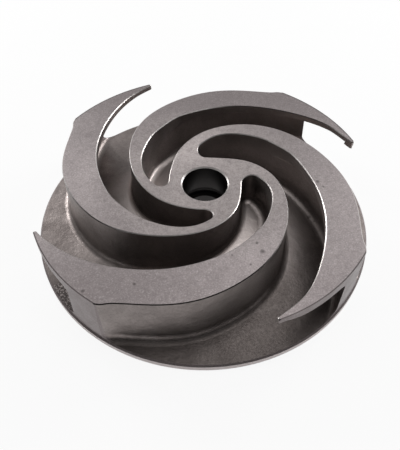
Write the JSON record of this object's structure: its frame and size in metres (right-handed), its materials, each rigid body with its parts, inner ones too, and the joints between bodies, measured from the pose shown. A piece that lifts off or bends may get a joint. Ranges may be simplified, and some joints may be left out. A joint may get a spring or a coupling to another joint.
{
  "type": "pump impeller",
  "caption": "Semi-open cast pump impeller: spiral vanes with overhanging outer lips on a flat disc, machined tops, and a stepped central bore.",
  "frame": {"origin": "centre of the flat back face, on the bore's axis", "axes": "+Z along the bore's axis from the flat back towards the vanes; the first vane's tip lies 23.8 degrees counter-clockwise from +X"},
  "size_m": [0.18, 0.18, 0.0369],
  "materials": {
    "casting": "machined tops, as-cast passages"
  },
  "bodies": {
    "root": {"impeller": "casting"}
  },
  "joints": []
}
